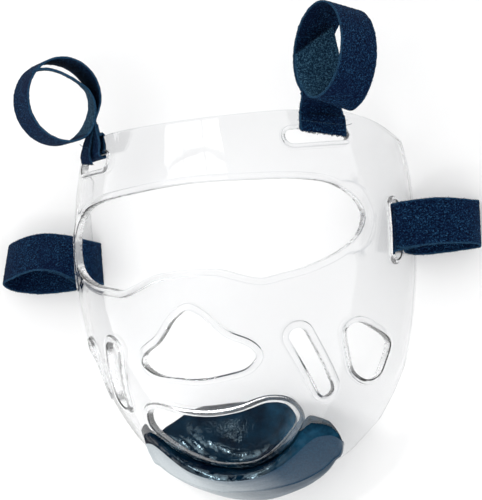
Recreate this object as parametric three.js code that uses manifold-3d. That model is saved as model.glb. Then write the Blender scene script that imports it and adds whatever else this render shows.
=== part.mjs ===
// A taekwondo face mask: a clear moulded shell, a dipped-foam chin pad and four hook-and-loop straps.
// It lies on its back. X is the wearer's width, Y runs from chin to forehead, Z stands up out of the face.
// The shell's rear edge is the plane that it rests on.
import * as THREE from "three";
import Module from "manifold-3d";
import { mergeVertices } from "three/addons/utils/BufferGeometryUtils.js";

// Driving dimensions, in millimetres and degrees.
const WALL = 3;
const FIT = 0.4;
const SHELL_ROWS = 22;
const SHELL_COLUMNS = 26;
const RIM_HEIGHT = 1;
const RIM_ROOT = -1.2;
const MOUTH_RIM = 3.6;
const TAPE_WIDTH = 25;
const TAPE_THICK = 2;

// Level sections of the shell, each half an ellipse: halfWidth across, crown in front.
// rearHalfWidth is the flared half width at the rear edge.
const SECTIONS = [
  { height: -110, halfWidth: 46, crown: 24, rearHalfWidth: 46 },
  { height: -93, halfWidth: 64, crown: 49.5, rearHalfWidth: 64 },
  { height: -72, halfWidth: 76.5, crown: 68.5, rearHalfWidth: 76.5 },
  { height: -50, halfWidth: 84.3, crown: 82, rearHalfWidth: 84.3 },
  { height: -25, halfWidth: 90.3, crown: 91, rearHalfWidth: 90.3 },
  { height: 0, halfWidth: 94, crown: 89.6, rearHalfWidth: 94 },
  { height: 20, halfWidth: 95, crown: 83.5, rearHalfWidth: 95 },
  { height: 45, halfWidth: 91.8, crown: 77.6, rearHalfWidth: 94.5 },
  { height: 80, halfWidth: 79.3, crown: 73.8, rearHalfWidth: 88 },
];
const FLARE_POWER = 8;

// The shell's edge in side view: how far in front of the rear plane it runs at each height.
const SHELL_BOTTOM = -100.6;
const SHELL_TOP = 79.3;
const EDGE = [
  { height: SHELL_BOTTOM, depth: 21 },
  { height: -91, depth: 21 },
  { height: -86, depth: 19 },
  { height: -82, depth: 15.5 },
  { height: -70, depth: 10.8 },
  { height: -61, depth: 6 },
  { height: -52, depth: 0 },
  { height: 61.5, depth: 0 },
  { height: 65.6, depth: 11 },
  { height: 70.3, depth: 19 },
  { height: 73.5, depth: 26 },
  { height: 77, depth: 36 },
  { height: SHELL_TOP, depth: 58 },
];

// Half outlines of the openings that cross the middle, from their top to their bottom.
const EYE = [
  { turn: 0, height: 47.3 },
  { turn: 20, height: 46 },
  { turn: 38, height: 43.8 },
  { turn: 47.5, height: 40 },
  { turn: 54.9, height: 31.5 },
  { turn: 57, height: 23.8 },
  { turn: 54.3, height: 14.6 },
  { turn: 47.5, height: 7.6 },
  { turn: 37, height: 1.8 },
  { turn: 28.4, height: -0.6 },
  { turn: 22.9, height: -1.8 },
  { turn: 17.5, height: 0.4 },
  { turn: 10, height: 4.3 },
  { turn: 0, height: 5.4 },
];
const NOSE = [
  { turn: 0, height: -14 },
  { turn: 4, height: -17.2 },
  { turn: 11, height: -28 },
  { turn: 18.2, height: -34.3 },
  { turn: 19.8, height: -38.6 },
  { turn: 16.5, height: -43.8 },
  { turn: 8.5, height: -46.5 },
  { turn: 0, height: -47.8 },
];
const MOUTH = [
  { turn: 0, height: -67.7 },
  { turn: 10.6, height: -66.2 },
  { turn: 22, height: -62.5 },
  { turn: 28, height: -65 },
  { turn: 31, height: -73 },
  { turn: 27, height: -80.8 },
  { turn: 19.5, height: -88.8 },
  { turn: 10.5, height: -94.4 },
  { turn: 0, height: -95.8 },
];
// The whole outline of the heart-shaped vent on the right cheek.
const CHEEK = [
  { turn: 50.6, height: -30.5 },
  { turn: 54.5, height: -28 },
  { turn: 62, height: -32.2 },
  { turn: 70.4, height: -41 },
  { turn: 69, height: -49.5 },
  { turn: 66.3, height: -56.3 },
  { turn: 60.5, height: -57.8 },
  { turn: 54, height: -52.4 },
  { turn: 51.5, height: -42.5 },
];
const OBLONG = { turn: 38, height: -45, length: 41, width: 9, slant: -24 };
const TOP_SLOT = { turn: 46.5, height: 65.3, length: 34, width: 7.4, slant: 90 };
const SIDE_SLOT = { turn: 72, height: 15.2, length: 30, width: 7.4, slant: 0 };

// Stations of the chin pad from the middle out to its end. Each is a section across the width:
// top: where the outer bumper meets the shell; edge: the shelf's front edge; fold: the crease of
// the outer face; base: the lowest line; heel: the rear edge; rise: the inner cushion's top.
const PAD = [
  { across: 0, top: -100, edge: [-101.5, 56], fold: [-111.5, 42], base: [-120, 22], rise: [-66.5, 31] },
  { across: 14, top: -97.3, edge: [-99.5, 55.7], fold: [-111, 40.5], base: [-118.5, 22], rise: [-66.8, 32] },
  { across: 25, top: -91.8, edge: [-94.8, 55], fold: [-109.4, 37.5], base: [-115, 22.5], rise: [-68, 35] },
  { across: 34, top: -84.8, edge: [-88, 54], fold: [-107, 34.5], base: [-110.8, 24], rise: [-71.5, 42] },
  { across: 40, top: -77.4, edge: [-82.8, 53], fold: [-104.5, 33.5], base: [-107, 25.5], rise: [-78, 46] },
  { across: 44.5, top: -73.6, edge: [-80.2, 51], fold: [-101.6, 33], base: [-103, 27], rise: [-85, 38] },
  { across: 48.5, top: -75.6, edge: [-80.4, 47.5], fold: [-98, 33], base: [-98.6, 28.5], rise: [-89, 32] },
  { across: 52, top: -80.2, edge: [-83.2, 43], fold: [-93.5, 34], base: [-94, 30], rise: [-90, 30] },
  { across: 54, top: -85, edge: [-86.4, 38.6], fold: [-90, 35.5], base: [-90.6, 32.5], rise: [-88.5, 30] },
];
const HEEL = { back: 14, up: 4, rise: 6 };
const CUSHION = 6;
// The rings of the top straps. swing and dip are the bearing and the slope of the ring's axis, lean
// turns it in its own plane, and the tape is TAPE_WIDTH along that axis.
const TOP_STRAPS = [
  {
    name: "strap_top_left",
    side: -1,
    centre: [-72.4, 99, 62.8],
    swing: 42.4,
    dip: -1.9,
    lean: -13.6,
    breadth: 20.4,
    tall: 21.6,
    foot: 238,
    lap: [
      { angle: 225, inset: 1.9 },
      { angle: 200, inset: 1.9 },
      { angle: 180, inset: 3 },
      { angle: 155, inset: 5.6 },
      { angle: 130, inset: 6.8 },
      { angle: 105, inset: 6 },
      { angle: 82, inset: 3.8 },
      { angle: 60, inset: 1.9 },
    ],
  },
  {
    name: "strap_top_right",
    side: 1,
    centre: [76.3, 102.9, 57.7],
    swing: -62.3,
    dip: -8.2,
    lean: -5.6,
    breadth: 16,
    tall: 23.2,
    foot: 240,
    lap: [
      { angle: 335, inset: 1.9 },
      { angle: 318, inset: 3.4 },
      { angle: 300, inset: 4 },
      { angle: 280, inset: 3 },
      { angle: 255, inset: 1.9 },
      { angle: 220, inset: 1.9 },
      { angle: 190, inset: 1.9 },
      { angle: 165, inset: 1.9 },
    ],
  },
];
// The flat loops of the side straps: how far out they reach, and how far their front layer rises.
const SIDE_STRAPS = [
  { name: "strap_side_left", side: -1, reach: 146, lift: 8 },
  { name: "strap_side_right", side: 1, reach: 134.5, lift: 0.5 },
];

const wasm = await Module();
wasm.setup();

// Small helpers.
const radians = (degrees) => (degrees * Math.PI) / 180;
const vector = (x, y, z) => new THREE.Vector3(x, y, z);

// The value of one column of a table at a height, through a smooth curve.
function column(table, name, height) {
  const last = table.length - 1;
  const slope = (i) => {
    if (i === 0 || i === last) {
      const [low, high] = i === 0 ? [0, 1] : [last - 1, last];
      return (table[high][name] - table[low][name]) / (table[high].height - table[low].height);
    }
    const before = table[i].height - table[i - 1].height;
    const after = table[i + 1].height - table[i].height;
    const rise = (table[i][name] - table[i - 1][name]) / before;
    const climb = (table[i + 1][name] - table[i][name]) / after;
    return (after * rise + before * climb) / (before + after);
  };
  let row = 0;
  while (row < last - 1 && height > table[row + 1].height) row += 1;
  const span = table[row + 1].height - table[row].height;
  const t = (height - table[row].height) / span;
  const start = 2 * t ** 3 - 3 * t ** 2 + 1;
  const leave = t ** 3 - 2 * t ** 2 + t;
  const arrive = t ** 3 - t ** 2;
  return (
    start * table[row][name] +
    leave * span * slope(row) +
    (1 - start) * table[row + 1][name] +
    arrive * span * slope(row + 1)
  );
}

// A value between the rows of a table, on straight lines.
function between(table, key, name, at) {
  let row = 0;
  while (row < table.length - 2 && at > table[row + 1][key]) row += 1;
  const t = (at - table[row][key]) / (table[row + 1][key] - table[row][key]);
  return THREE.MathUtils.lerp(table[row][name], table[row + 1][name], THREE.MathUtils.clamp(t, 0, 1));
}

// A point of the shell: turn in degrees from the middle, height along Y, out from the outer face.
function shellPoint(turn, height, out = 0) {
  const half = column(SECTIONS, "halfWidth", height);
  const crown = column(SECTIONS, "crown", height);
  const rear = column(SECTIONS, "rearHalfWidth", height);
  const sine = Math.sin(radians(turn));
  const flare = (rear - half) * sine ** FLARE_POWER * Math.sign(sine);
  return vector((half + out) * sine + flare, height, (crown + out) * Math.cos(radians(turn)));
}

// The unit frame of the shell's face: across, up along the face and out of it.
function shellFrame(turn, height) {
  const step = 0.05;
  const across = shellPoint(turn + step, height).sub(shellPoint(turn - step, height)).normalize();
  const climb = shellPoint(turn, height + step).sub(shellPoint(turn, height - step));
  const out = across.clone().cross(climb).normalize();
  const up = out.clone().cross(across);
  return { across, up, out };
}

// Solids and meshes.
function solid(vertices, triangles) {
  const vertProperties = new Float32Array(vertices.flatMap((v) => [v.x, v.y, v.z]));
  const triVerts = new Uint32Array(triangles.flat());
  return new wasm.Manifold(new wasm.Mesh({ numProp: 3, vertProperties, triVerts }));
}

function solidOf(geometry) {
  const bare = new THREE.BufferGeometry().setAttribute("position", geometry.getAttribute("position"));
  if (geometry.index) bare.setIndex(geometry.index);
  const merged = mergeVertices(bare, 1e-4);
  const vertProperties = merged.attributes.position.array;
  const triVerts = new Uint32Array(merged.index.array);
  return new wasm.Manifold(new wasm.Mesh({ numProp: 3, vertProperties, triVerts }));
}

function largest(body) {
  return body.decompose().reduce((best, one) => (one.volume() > best.volume() ? one : best));
}

function meshOf(name, body, material) {
  const { vertProperties, triVerts } = body.getMesh();
  const geometry = new THREE.BufferGeometry();
  geometry.setAttribute("position", new THREE.BufferAttribute(vertProperties, 3));
  geometry.setIndex(new THREE.BufferAttribute(triVerts, 1));
  geometry.computeVertexNormals();
  const mesh = new THREE.Mesh(geometry, material);
  mesh.name = name;
  return mesh;
}

// A grid of quads between rows of vertices, as triangles. Rows and columns may close on themselves.
function gridTriangles(rows, columns, start, flip, closeRows = false, closeColumns = false) {
  const triangles = [];
  const at = (row, col) => start + (row % rows) * columns + (col % columns);
  for (let row = 0; row < rows - (closeRows ? 0 : 1); row += 1) {
    for (let col = 0; col < columns - (closeColumns ? 0 : 1); col += 1) {
      const [a, b] = [at(row, col), at(row, col + 1)];
      const [c, d] = [at(row + 1, col + 1), at(row + 1, col)];
      triangles.push(flip ? [a, d, c] : [a, b, c]);
      triangles.push(flip ? [a, c, b] : [a, c, d]);
    }
  }
  return triangles;
}

// The rows of heights that the shell is lofted through: even steps, and each corner of its edge.
function shellHeights() {
  const even = (SHELL_TOP - SHELL_BOTTOM) / SHELL_ROWS;
  const heights = EDGE.map((row) => row.height);
  for (let i = 1; i < SHELL_ROWS; i += 1) {
    const height = SHELL_BOTTOM + i * even;
    if (heights.every((other) => Math.abs(other - height) > even * 0.45)) heights.push(height);
  }
  return heights.sort((a, b) => a - b);
}

// The shell's wall without its openings. spare makes it larger all round, to cut a clearance with it.
function shellWall(spare = 0) {
  const heights = shellHeights();
  heights[0] -= spare;
  const vertices = [];
  const columns = SHELL_COLUMNS + 1;
  for (const out of [spare, -WALL - spare]) {
    for (const height of heights) {
      const depth = between(EDGE, "height", "depth", height);
      const limit = THREE.MathUtils.radToDeg(Math.acos(depth / column(SECTIONS, "crown", height)));
      for (let i = 0; i < columns; i += 1) {
        vertices.push(shellPoint(limit * ((2 * i) / SHELL_COLUMNS - 1), height, out));
      }
    }
  }
  const rows = heights.length;
  const inside = rows * columns;
  const triangles = [
    ...gridTriangles(rows, columns, 0, false),
    ...gridTriangles(rows, columns, inside, true),
  ];
  const rim = [];
  for (let i = 0; i < columns - 1; i += 1) rim.push(i);
  for (let j = 0; j < rows - 1; j += 1) rim.push(j * columns + columns - 1);
  for (let i = columns - 1; i > 0; i -= 1) rim.push((rows - 1) * columns + i);
  for (let j = rows - 1; j > 0; j -= 1) rim.push(j * columns);
  rim.forEach((a, i) => {
    const b = rim[(i + 1) % rim.length];
    triangles.push([a, a + inside, b + inside], [a, b + inside, b]);
  });
  return solid(vertices, triangles);
}

// Outlines of the openings, as closed lists of [turn, height], counter-clockwise from the front.
const TURN_SCALE = 1.6; // about a millimetre of face for each degree times this

function smoothOutline(rows, count) {
  const points = rows.map((row) => vector(row.turn * TURN_SCALE, row.height, 0));
  const curve = new THREE.CatmullRomCurve3(points, true, "centripetal");
  const outline = curve.getSpacedPoints(count).slice(0, count);
  return orient(outline.map((point) => [point.x / TURN_SCALE, point.y]));
}

function orient(outline) {
  const area = outline.reduce((sum, [x, y], i) => {
    const [nextX, nextY] = outline[(i + 1) % outline.length];
    return sum + x * nextY - nextX * y;
  }, 0);
  return area > 0 ? outline : outline.reverse();
}

// A half outline from the top to the bottom, with its mirror image.
function mirrored(half, count) {
  const others = half.slice(1, -1).map((row) => ({ turn: -row.turn, height: row.height }));
  return smoothOutline([...half, ...others.reverse()], count);
}

// A slot with round ends. Its length runs up the face, leant outwards by slant degrees.
function slotOutline({ turn, height, length, width, slant }, side, count) {
  const frame = shellFrame(turn, height);
  const reach = shellPoint(turn + 1, height).distanceTo(shellPoint(turn, height));
  const lean = radians(-slant);
  const straight = length / 2 - width / 2;
  const outline = [];
  for (let i = 0; i < count; i += 1) {
    const angle = (2 * Math.PI * (i + 0.5)) / count;
    const along = (width / 2) * Math.sin(angle) + straight * Math.sign(Math.sin(angle));
    const over = (width / 2) * Math.cos(angle);
    const rise = along * Math.cos(lean) + over * Math.sin(lean);
    const shift = -along * Math.sin(lean) + over * Math.cos(lean);
    outline.push([side * (turn + shift / reach), height + rise * frame.up.y]);
  }
  return orient(outline);
}

function mirror(outline) {
  return orient(outline.map(([turn, height]) => [-turn, height]));
}

// A raised rim round an opening: a band with sloping sides, swept along the outline. It may widen
// towards the temples, and spare makes it larger all round, to cut a clearance with it.
function rimSolid(outline, width, temple = 0, spare = 0) {
  const profileAt = (turn) => {
    const foot = width + spare + temple * THREE.MathUtils.smoothstep(Math.abs(turn), 50, 57);
    return [
      [-0.5, RIM_ROOT],
      [foot, RIM_ROOT],
      [foot - 0.9, RIM_HEIGHT + spare],
      [-0.5, RIM_HEIGHT + spare],
    ];
  };
  const vertices = [];
  const points = outline.map(([turn, height]) => shellPoint(turn, height));
  outline.forEach(([turn, height], i) => {
    const before = points[(i + points.length - 1) % points.length];
    const after = points[(i + 1) % points.length];
    const { out } = shellFrame(turn, height);
    const away = after.clone().sub(before).cross(out).normalize();
    for (const [over, rise] of profileAt(turn)) {
      vertices.push(points[i].clone().addScaledVector(away, over).addScaledVector(out, rise));
    }
  });
  return solid(vertices, gridTriangles(outline.length, 4, 0, true, true, true));
}

// The plug that cuts an opening: rings that shrink to the middle, above and below the wall.
function plugSolid(outline) {
  const rings = [1, 0.68, 0.34];
  const above = 5;
  const below = -9;
  const count = outline.length;
  const middle = [0, 1].map((k) => outline.reduce((sum, point) => sum + point[k], 0) / count);
  const vertices = [];
  const ring = (scale, out) =>
    outline.forEach(([turn, height]) => {
      const at = THREE.MathUtils.lerp(middle[0], turn, scale);
      const level = THREE.MathUtils.lerp(middle[1], height, scale);
      const frame = shellFrame(at, level);
      vertices.push(shellPoint(at, level).addScaledVector(frame.out, out));
    });
  for (const scale of [...rings].reverse()) ring(scale, below);
  for (const scale of rings) ring(scale, above);
  const triangles = gridTriangles(2 * rings.length, count, 0, false, false, true);
  for (const [out, first, flip] of [[below, 0, false], [above, (2 * rings.length - 1) * count, true]]) {
    const frame = shellFrame(...middle);
    const centre = vertices.push(shellPoint(...middle).addScaledVector(frame.out, out)) - 1;
    for (let i = 0; i < count; i += 1) {
      const [a, b] = [first + i, first + ((i + 1) % count)];
      triangles.push(flip ? [a, b, centre] : [b, a, centre]);
    }
  }
  return solid(vertices, triangles);
}

function openings() {
  const list = [
    { outline: mirrored(EYE, 54), rim: 3.7, temple: 4.2 },
    { outline: mirrored(NOSE, 30), rim: 3.8 },
    { outline: mirrored(MOUTH, 34), rim: MOUTH_RIM },
  ];
  const cheek = smoothOutline(CHEEK, 24);
  list.push({ outline: cheek, rim: 3 }, { outline: mirror(cheek), rim: 3 });
  for (const side of [-1, 1]) {
    list.push({ outline: slotOutline(OBLONG, side, 18), rim: 3.8 });
    list.push({ outline: slotOutline(TOP_SLOT, side, 14), rim: 2.4 });
    list.push({ outline: slotOutline(SIDE_SLOT, side, 14), rim: 2.4 });
  }
  return list;
}

function makeShell() {
  let body = shellWall();
  const holes = openings();
  for (const { outline, rim, temple } of holes) body = body.add(rimSolid(outline, rim, temple));
  for (const { outline } of holes) body = body.subtract(plugSolid(outline));
  return largest(body);
}

// The chin pad: level-sided sections across the width, joined, with the shell's wall cut out of it.
function padSection({ across, top, edge, fold, base, rise }) {
  const face = (height) => {
    const share = Math.min(across / column(SECTIONS, "halfWidth", height), 1);
    return column(SECTIONS, "crown", height) * Math.sqrt(1 - share * share);
  };
  const mix = (a, b, t, bulge = 0) => [
    THREE.MathUtils.lerp(a[0], b[0], t) - bulge * 0.7,
    THREE.MathUtils.lerp(a[1], b[1], t) + bulge * 0.7,
  ];
  const shelf = [top, face(top) - WALL / 2];
  const root = [top + 1.5, face(top + 1.5) - WALL / 2];
  const size = (rise[0] - base[0]) / (PAD[0].rise[0] - PAD[0].base[0]);
  const heel = [base[0] + HEEL.up * size, base[1] - HEEL.back * size];
  const lap = [heel[0] + HEEL.rise * size, heel[1] - size];
  const crest = [rise[0] - 1.5, rise[1] - CUSHION * (0.4 + 0.6 * size)];
  return [
    shelf,
    mix(edge, shelf, 0.12),
    mix(edge, fold, 0.1),
    mix(edge, fold, 0.55, 1),
    fold,
    mix(fold, base, 0.6, 0.8),
    base,
    heel,
    lap,
    mix(lap, crest, 0.5, 2 * size),
    crest,
    rise,
    mix(rise, root, 0.5, 1.5),
    root,
  ];
}

function makePad() {
  const halves = PAD.slice(1).reverse().map((row) => ({ side: -1, row }));
  const stations = [...halves, ...PAD.map((row) => ({ side: 1, row }))];
  const sections = stations.map(({ row }) => padSection(row));
  const vertices = [];
  sections.forEach((section, i) => {
    const x = stations[i].side * stations[i].row.across;
    for (const [y, z] of section) vertices.push(vector(x, y, z));
  });
  const count = sections[0].length;
  const triangles = gridTriangles(sections.length, count, 0, false, false, true);
  for (const [first, flip] of [[0, true], [(sections.length - 1) * count, false]]) {
    const ring = vertices.slice(first, first + count);
    const centre = ring.reduce((sum, v) => sum.add(v), vector(0, 0, 0)).divideScalar(count);
    const hub = vertices.push(centre) - 1;
    for (let i = 0; i < count; i += 1) {
      const [a, b] = [first + i, first + ((i + 1) % count)];
      triangles.push(flip ? [b, a, hub] : [a, b, hub]);
    }
  }
  const body = solid(vertices, triangles);
  const wall = shellWall(FIT);
  const rim = rimSolid(mirrored(MOUTH, 34), MOUTH_RIM, 0, FIT);
  return largest(body.subtract(wall).subtract(rim));
}

// Flat shapes of tape seen from its edge.
function ribbonShape(points, thickness) {
  const sides = [[], []];
  points.forEach((point, i) => {
    const before = points[Math.max(i - 1, 0)];
    const after = points[Math.min(i + 1, points.length - 1)];
    const along = after.clone().sub(before).normalize();
    const away = new THREE.Vector2(-along.y, along.x).multiplyScalar(thickness / 2);
    sides[0].push(point.clone().sub(away));
    sides[1].unshift(point.clone().add(away));
  });
  return new THREE.Shape([...sides[0], ...sides[1]]);
}

function loopShape(points, thickness) {
  const outline = (offset) =>
    points.map((point, i) => {
      const before = points[(i + points.length - 1) % points.length];
      const after = points[(i + 1) % points.length];
      const along = after.clone().sub(before).normalize();
      return point.clone().add(new THREE.Vector2(along.y, -along.x).multiplyScalar(offset));
    });
  const shape = new THREE.Shape(outline(thickness / 2));
  shape.holes.push(new THREE.Path(outline(-thickness / 2)));
  return shape;
}

function tapeSolid(shape) {
  const geometry = new THREE.ExtrudeGeometry(shape, { depth: TAPE_WIDTH, bevelEnabled: false });
  geometry.translate(0, 0, -TAPE_WIDTH / 2);
  return solidOf(geometry);
}

const flat = (x, y) => new THREE.Vector2(x, y);

// Tape swept along a course in space. Each step has a point and the direction of the tape's width.
function tapeSweep(course, closed) {
  const count = course.length;
  const vertices = course.flatMap(({ point, width }, i) => {
    const before = course[closed ? (i + count - 1) % count : Math.max(i - 1, 0)].point;
    const after = course[closed ? (i + 1) % count : Math.min(i + 1, count - 1)].point;
    const away = after.clone().sub(before).cross(width).normalize();
    const corners = [[1, 1], [-1, 1], [-1, -1], [1, -1]];
    return corners.map(([over, out]) =>
      point
        .clone()
        .addScaledVector(width, (over * TAPE_WIDTH) / 2)
        .addScaledVector(away, (out * TAPE_THICK) / 2),
    );
  });
  const triangles = gridTriangles(count, 4, 0, false, closed, true);
  if (!closed) {
    const last = 4 * (count - 1);
    triangles.push([0, 2, 1], [0, 3, 2], [last, last + 1, last + 2], [last, last + 2, last + 3]);
  }
  return solid(vertices, triangles);
}

// A top strap: wrapped round the strip above its slot, up a short stem and round its ring.
const WRAP = { front: 2.9, back: -5.5, bottom: 1.9, top: 17.4, tail: -1.4, corner: 1.6 };
const RING_STEPS = 28;
const STEM_STEPS = 6;
const LAP_STEPS = 14;

function wrapCourse() {
  const { front, back, bottom, top, corner } = WRAP;
  const corners = [
    [front, bottom, -1, 1],
    [front, top, -1, -1],
    [back, top, 1, -1],
    [back, bottom, 1, 1],
  ];
  return corners.flatMap(([x, y, inX, inY], i) => {
    const ends = [flat(x + inX * corner, y), flat(x, y + inY * corner)];
    return i % 2 === 0 ? ends : ends.reverse();
  });
}

function makeTopStrap(strap, material) {
  const swing = radians(strap.swing);
  const dip = radians(strap.dip);
  const axis = vector(Math.cos(swing) * Math.cos(dip), Math.sin(dip), Math.sin(swing) * Math.cos(dip));
  const level = axis.clone().cross(vector(0, 1, 0)).normalize();
  const upright = level.clone().cross(axis);
  level.applyAxisAngle(axis, -radians(strap.lean));
  upright.applyAxisAngle(axis, -radians(strap.lean));
  const ringPoint = (angle, inset = 0) =>
    vector(...strap.centre)
      .addScaledVector(level, (strap.breadth - inset) * Math.cos(radians(angle)))
      .addScaledVector(upright, (strap.tall - inset) * Math.sin(radians(angle)));

  const ring = [];
  for (let i = 0; i < RING_STEPS; i += 1) {
    ring.push({ point: ringPoint((360 * i) / RING_STEPS), width: axis });
  }
  const lapCurve = new THREE.CatmullRomCurve3(strap.lap.map((row) => ringPoint(row.angle, row.inset)));
  const lap = lapCurve.getPoints(LAP_STEPS).map((point) => ({ point, width: axis }));

  const turn = strap.side * TOP_SLOT.turn;
  const { across, up, out } = shellFrame(turn, TOP_SLOT.height);
  const slot = shellPoint(turn, TOP_SLOT.height);
  const onFace = (front, climb) => slot.clone().addScaledVector(out, front).addScaledVector(up, climb);
  const foot = onFace(WRAP.front, WRAP.bottom);
  const join = ringPoint(strap.foot);
  const rise = join.clone().sub(foot).length();
  const along = ringPoint(strap.foot - 4).sub(ringPoint(strap.foot + 4)).normalize();
  const stemCurve = new THREE.CubicBezierCurve3(
    foot,
    foot.clone().addScaledVector(up, rise * 0.55),
    join.clone().addScaledVector(along, -rise * 0.3),
    join,
  );
  const stem = [{ point: onFace(WRAP.front, WRAP.tail), width: across }];
  stemCurve.getPoints(STEM_STEPS).forEach((point, i) => {
    const turned = THREE.MathUtils.smoothstep(i / STEM_STEPS, 0.3, 1);
    stem.push({ point, width: across.clone().lerp(axis, turned).normalize() });
  });
  for (const past of [8, 16]) stem.push({ point: ringPoint(strap.foot - past), width: axis });

  const wrap = tapeSolid(loopShape(wrapCourse(), TAPE_THICK));
  const place = new THREE.Matrix4().makeBasis(out, up, across.clone().negate()).setPosition(slot);
  const body = tapeSweep(ring, true)
    .add(tapeSweep(lap, false))
    .add(tapeSweep(stem, false))
    .add(wrap.transform(place.elements));
  return meshOf(strap.name, largest(body), material);
}

// A side strap: a folded end inside the shell, a neck through the slot and a loop that lies outside.
const SIDE_LOOP = { inner: 98.2, top: 27.6, floor: 1.4, nose: 14.5 };

function makeSideStrap({ name, side, reach, lift }, material) {
  const { inner, top, floor, nose } = SIDE_LOOP;
  const middle = (inner + reach) / 2;
  const corners = [
    [inner, 16],
    [inner + 1, 6],
    [inner + 6, 2.4],
    [middle - 6, floor],
    [middle + 8, floor + 0.6],
    [reach - 5, 5.5],
    [reach - 1, nose],
    [reach - 6, top - 4],
    [middle + 6, top - 0.8],
    [middle - 6, top],
    [inner + 5, top - 0.2],
    [inner + 1, top - 4],
  ];
  const curve = new THREE.CatmullRomCurve3(corners.map(([x, z]) => vector(x, z, 0)), true, "centripetal");
  const course = curve.getSpacedPoints(34).slice(0, 34).map((point) => flat(point.x, point.y));
  const neck = new THREE.SplineCurve([
    flat(85.4, 6),
    flat(85.1, 17),
    flat(86.9, 24.6),
    flat(92, 26.8),
    flat(103.6, 27.4),
  ]);
  const strap = tapeSolid(loopShape(course, TAPE_THICK)).add(
    tapeSolid(ribbonShape(neck.getPoints(12), TAPE_THICK + 0.4)),
  );
  const raised = strap.warp((vertex) => {
    const along = THREE.MathUtils.clamp((vertex[0] - inner) / (reach - inner), 0, 1);
    vertex[2] -= side * lift * (vertex[1] / top) * Math.sin(Math.PI * along);
  });
  const mesh = meshOf(name, raised, material);
  const level = vector(0, -side, 0);
  mesh.applyMatrix4(new THREE.Matrix4().makeBasis(vector(side, 0, 0), vector(0, 0, 1), level));
  mesh.position.set(0, SIDE_SLOT.height, 0);
  return mesh;
}

// The mask.
const clear = new THREE.MeshStandardMaterial({
  color: 0xeef2f4,
  roughness: 0.05,
  metalness: 0,
  transparent: true,
  opacity: 0.35,
});
const foam = new THREE.MeshStandardMaterial({ color: 0x16263d, roughness: 0.35, metalness: 0 });
const tape = new THREE.MeshStandardMaterial({ color: 0x15233a, roughness: 0.9, metalness: 0 });

const mask = new THREE.Group();
mask.add(meshOf("shell", makeShell(), clear));
mask.add(meshOf("chin_pad", makePad(), foam));
for (const strap of TOP_STRAPS) mask.add(makeTopStrap(strap, tape));
for (const strap of SIDE_STRAPS) mask.add(makeSideStrap(strap, tape));

// The origin is on the plane that the mask rests on, at the middle of its box.
const box = new THREE.Box3().setFromObject(mask);
const middle = box.getCenter(new THREE.Vector3());
mask.position.set(-middle.x, -middle.y, -box.min.z);

export default mask;
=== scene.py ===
"""A taekwondo face mask on its back: clear moulded shell, dipped-foam chin pad, hook-and-loop straps.

Lengths in the tables are millimetres and angles degrees, in the mask's own frame: X across the face,
Y from chin to forehead, Z out of the face. row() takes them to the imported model's frame in metres.
A place on the shell is (turn, height): degrees round from the middle of the face, and Y.
"""

import math

import bpy
import numpy as np
from mathutils import Matrix, Vector, kdtree
from mathutils.geometry import delaunay_2d_cdt


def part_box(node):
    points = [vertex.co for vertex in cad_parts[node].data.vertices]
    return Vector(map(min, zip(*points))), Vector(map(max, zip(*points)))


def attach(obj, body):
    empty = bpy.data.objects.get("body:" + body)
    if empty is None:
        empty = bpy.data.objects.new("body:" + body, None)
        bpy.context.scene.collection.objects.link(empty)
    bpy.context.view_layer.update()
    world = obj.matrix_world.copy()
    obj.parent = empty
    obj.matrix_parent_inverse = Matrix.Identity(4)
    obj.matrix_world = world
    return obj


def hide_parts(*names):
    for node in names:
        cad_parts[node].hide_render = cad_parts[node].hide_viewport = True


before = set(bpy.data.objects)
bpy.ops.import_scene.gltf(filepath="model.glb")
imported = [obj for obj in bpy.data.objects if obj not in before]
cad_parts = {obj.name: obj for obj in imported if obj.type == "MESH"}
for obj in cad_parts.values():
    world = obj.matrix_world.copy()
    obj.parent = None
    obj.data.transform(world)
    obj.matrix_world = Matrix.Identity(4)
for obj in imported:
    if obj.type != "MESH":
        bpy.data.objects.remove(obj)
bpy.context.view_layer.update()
RNG = np.random.default_rng(14)

# ---- sizes, as in the part's source
MM = 0.001
WALL = 3.0
RIM_HEIGHT = 1.0
TAPE_WIDTH = 25.0
TAPE_THICK = 1.05
SHELL_BOTTOM = -100.6
SHELL_TOP = 79.3
FLARE_POWER = 8
# About how many millimetres of the face one degree of turn covers.
TURN_SCALE = 1.6
HALF_TAPE = TAPE_WIDTH / 2 - 0.2

SECTIONS = dict(
    height=[-110, -93, -72, -50, -25, 0, 20, 45, 80],
    half=[46, 64, 76.5, 84.3, 90.3, 94, 95, 91.8, 79.3],
    crown=[24, 49.5, 68.5, 82, 91, 89.6, 83.5, 77.6, 73.8],
    rear=[46, 64, 76.5, 84.3, 90.3, 94, 95, 94.5, 88],
)
EDGE = dict(
    height=[-100.6, -91, -86, -82, -70, -61, -52, 61.5, 65.6, 70.3, 73.5, 77, 79.3],
    depth=[21, 21, 19, 15.5, 10.8, 6, 0, 0, 11, 19, 26, 36, 58],
)
EYE = [
    (0, 47.3), (20, 46), (38, 43.8), (47.5, 40), (54.9, 31.5), (57, 23.8), (54.3, 14.6),
    (47.5, 7.6), (37, 1.8), (28.4, -0.6), (22.9, -1.8), (17.5, 0.4), (10, 4.3), (0, 5.4),
]
NOSE = [
    (0, -14), (4, -17.2), (11, -28), (18.2, -34.3), (19.8, -38.6), (16.5, -43.8), (8.5, -46.5),
    (0, -47.8),
]
MOUTH = [
    (0, -67.7), (10.6, -66.2), (22, -62.5), (28, -65), (31, -73), (27, -80.8), (19.5, -88.8),
    (10.5, -94.4), (0, -95.8),
]
CHEEK = [
    (50.6, -30.5), (54.5, -28), (62, -32.2), (70.4, -41), (69, -49.5), (66.3, -56.3),
    (60.5, -57.8), (54, -52.4), (51.5, -42.5),
]
OBLONG = dict(turn=38, height=-45, length=41, width=9, slant=-24)
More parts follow.
